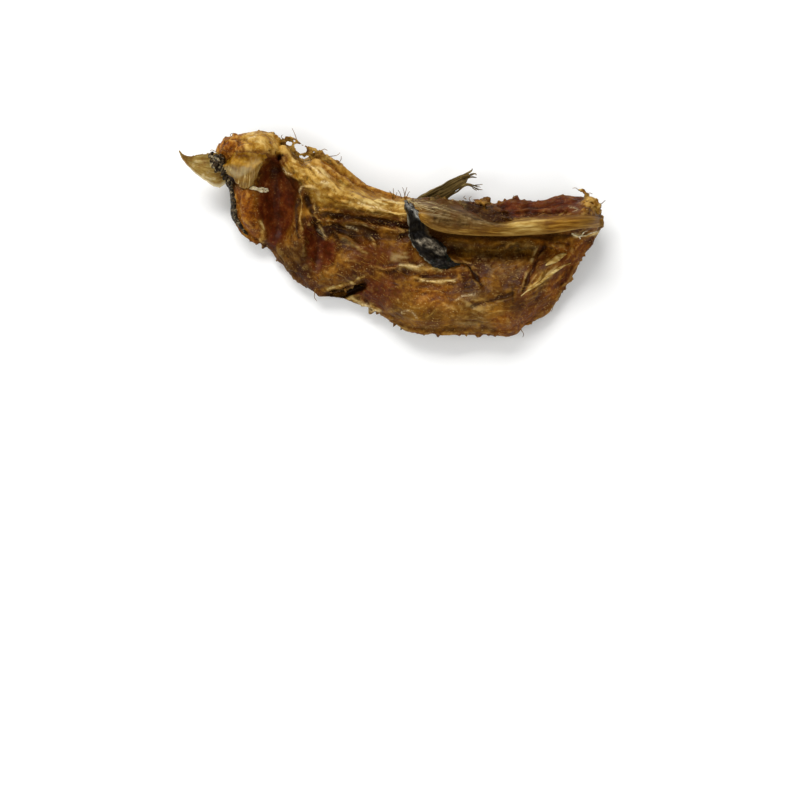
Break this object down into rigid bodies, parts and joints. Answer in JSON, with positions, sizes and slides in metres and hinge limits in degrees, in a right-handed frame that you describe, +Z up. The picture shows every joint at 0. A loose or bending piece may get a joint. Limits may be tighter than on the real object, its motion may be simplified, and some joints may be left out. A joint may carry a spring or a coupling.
{
  "type": "dried fish collar",
  "caption": "Dried fish collar: a crescent of dried flesh and skin with its bone ridge, belly film, gill plate and fin, lying skin side down.",
  "frame": {"origin": "under the middle of the whole piece, on the surface that it lies on", "axes": "+X from the head end to the tail end, +Y towards the fin edge, +Z up, away from the skin side"},
  "size_m": [0.2016, 0.0972, 0.0355],
  "materials": {
    "dried_flesh": "glossy, amber to dark red-brown dried fish flesh",
    "fish_skin": "satin, scaly grey-black and olive skin",
    "bone": "satin, pale straw bone",
    "thin_bone": "satin, translucent ivory bone",
    "fin": "dull, ribbed olive-brown fin",
    "belly_lining": "glossy black film with a silver bloom",
    "membrane": "satin, ribbed pale gold membrane"
  },
  "bodies": {
    "root": {"dried_flesh": "dried_flesh", "gill_plate": "thin_bone", "pectoral_fin": "fin", "collar_bone": "bone", "belly_film": "belly_lining", "fan_membrane": "membrane", "scaly_skin_fold": "fish_skin", "torn_frill": "dried_flesh", "bone_sliver": "bone", "short_bone_sliver": "bone"}
  },
  "joints": []
}
